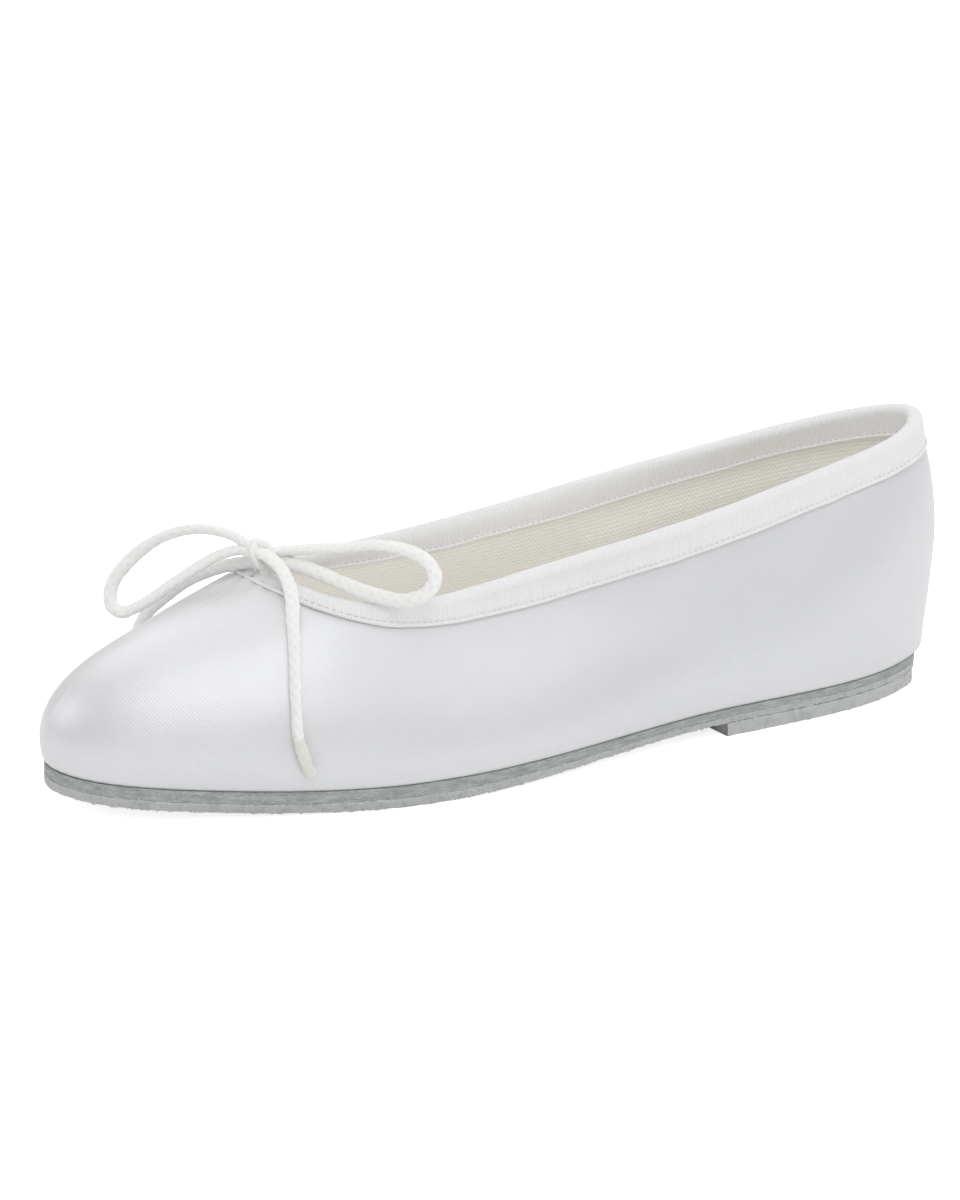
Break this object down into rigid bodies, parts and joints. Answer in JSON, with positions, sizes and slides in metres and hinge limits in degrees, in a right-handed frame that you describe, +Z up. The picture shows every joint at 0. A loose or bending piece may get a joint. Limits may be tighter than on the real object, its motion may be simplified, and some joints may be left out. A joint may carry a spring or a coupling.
{
  "type": "ballet slipper",
  "caption": "Girl's soft satin ballet slipper with grosgrain-bound drawstring opening, cord bow at the throat, flexible layered sole and low heel lift.",
  "frame": {"origin": "centre of the bounding box at the bottom face", "axes": "+Y along the shoe from toe to heel, +X towards the side that carries the hanging cord end, +Z up"},
  "size_m": [0.071, 0.203, 0.0558],
  "materials": {
    "satin": "white duchess satin, soft sheen",
    "lining": "undyed cotton twill",
    "stiffener": "resin-stiffened felt",
    "grosgrain": "ribbed white tape",
    "thread": "white sewing thread",
    "cord": "soft white round cord",
    "cord_tip": "glue-dipped cord end",
    "filler": "felt filler",
    "board": "cellulose insole board",
    "insock": "cotton covered foam",
    "midsole": "smooth grey split leather",
    "outsole": "grey suede, rough cut edge"
  },
  "bodies": {
    "forepart": {"satin_vamp": "satin", "lining_vamp": "lining", "toe_puff": "stiffener", "binding_front": "grosgrain", "binding_stitch_front": "thread", "drawstring_near": "cord", "drawstring_far": "cord", "bottom_filler_front": "filler", "insole_board_front": "board", "insock_front": "insock", "midsole_front": "midsole", "outsole_front": "outsole", "bow_knot": "cord"},
    "rear": {"satin_quarter": "satin", "lining_quarter": "lining", "heel_counter": "stiffener", "binding_rear": "grosgrain", "binding_stitch_rear": "thread", "drawstring_rear": "cord", "bottom_filler_rear": "filler", "insole_board_rear": "board", "insock_rear": "insock", "midsole_rear": "midsole", "outsole_rear": "outsole", "heel_lift": "outsole"},
    "near_loop": {"near_loop": "cord"},
    "far_loop": {"far_loop": "cord"},
    "near_end": {"near_tail": "cord", "near_tail_tip": "cord_tip"},
    "far_end": {"far_tail": "cord", "far_tail_tip": "cord_tip"}
  },
  "joints": [
    {"name": "forefoot_flex", "type": "hinge", "parent": "forepart", "child": "rear", "pos_m": [0, -0.02481, 0.0022], "axis": [1, 0, 0], "range_deg": [0, 30], "stiffness_Nm_per_rad": 0.4},
    {"name": "near_loop_lift", "type": "hinge", "parent": "forepart", "child": "near_loop", "pos_m": [0, -0.05511, 0.0451], "axis": [0.56, -0.8285, 0], "range_deg": [0, 35]},
    {"name": "far_loop_lift", "type": "hinge", "parent": "forepart", "child": "far_loop", "pos_m": [0, -0.05511, 0.0451], "axis": [-0.7828, 0.6223, 0], "range_deg": [0, 35]},
    {"name": "near_end_lift", "type": "hinge", "parent": "forepart", "child": "near_end", "pos_m": [0, -0.05511, 0.0451], "axis": [-0.239, -0.757, -0.6082], "range_deg": [0, 35]},
    {"name": "far_end_lift", "type": "hinge", "parent": "forepart", "child": "far_end", "pos_m": [0, -0.05511, 0.0451], "axis": [0.104, 0.797, -0.595], "range_deg": [0, 35]}
  ]
}
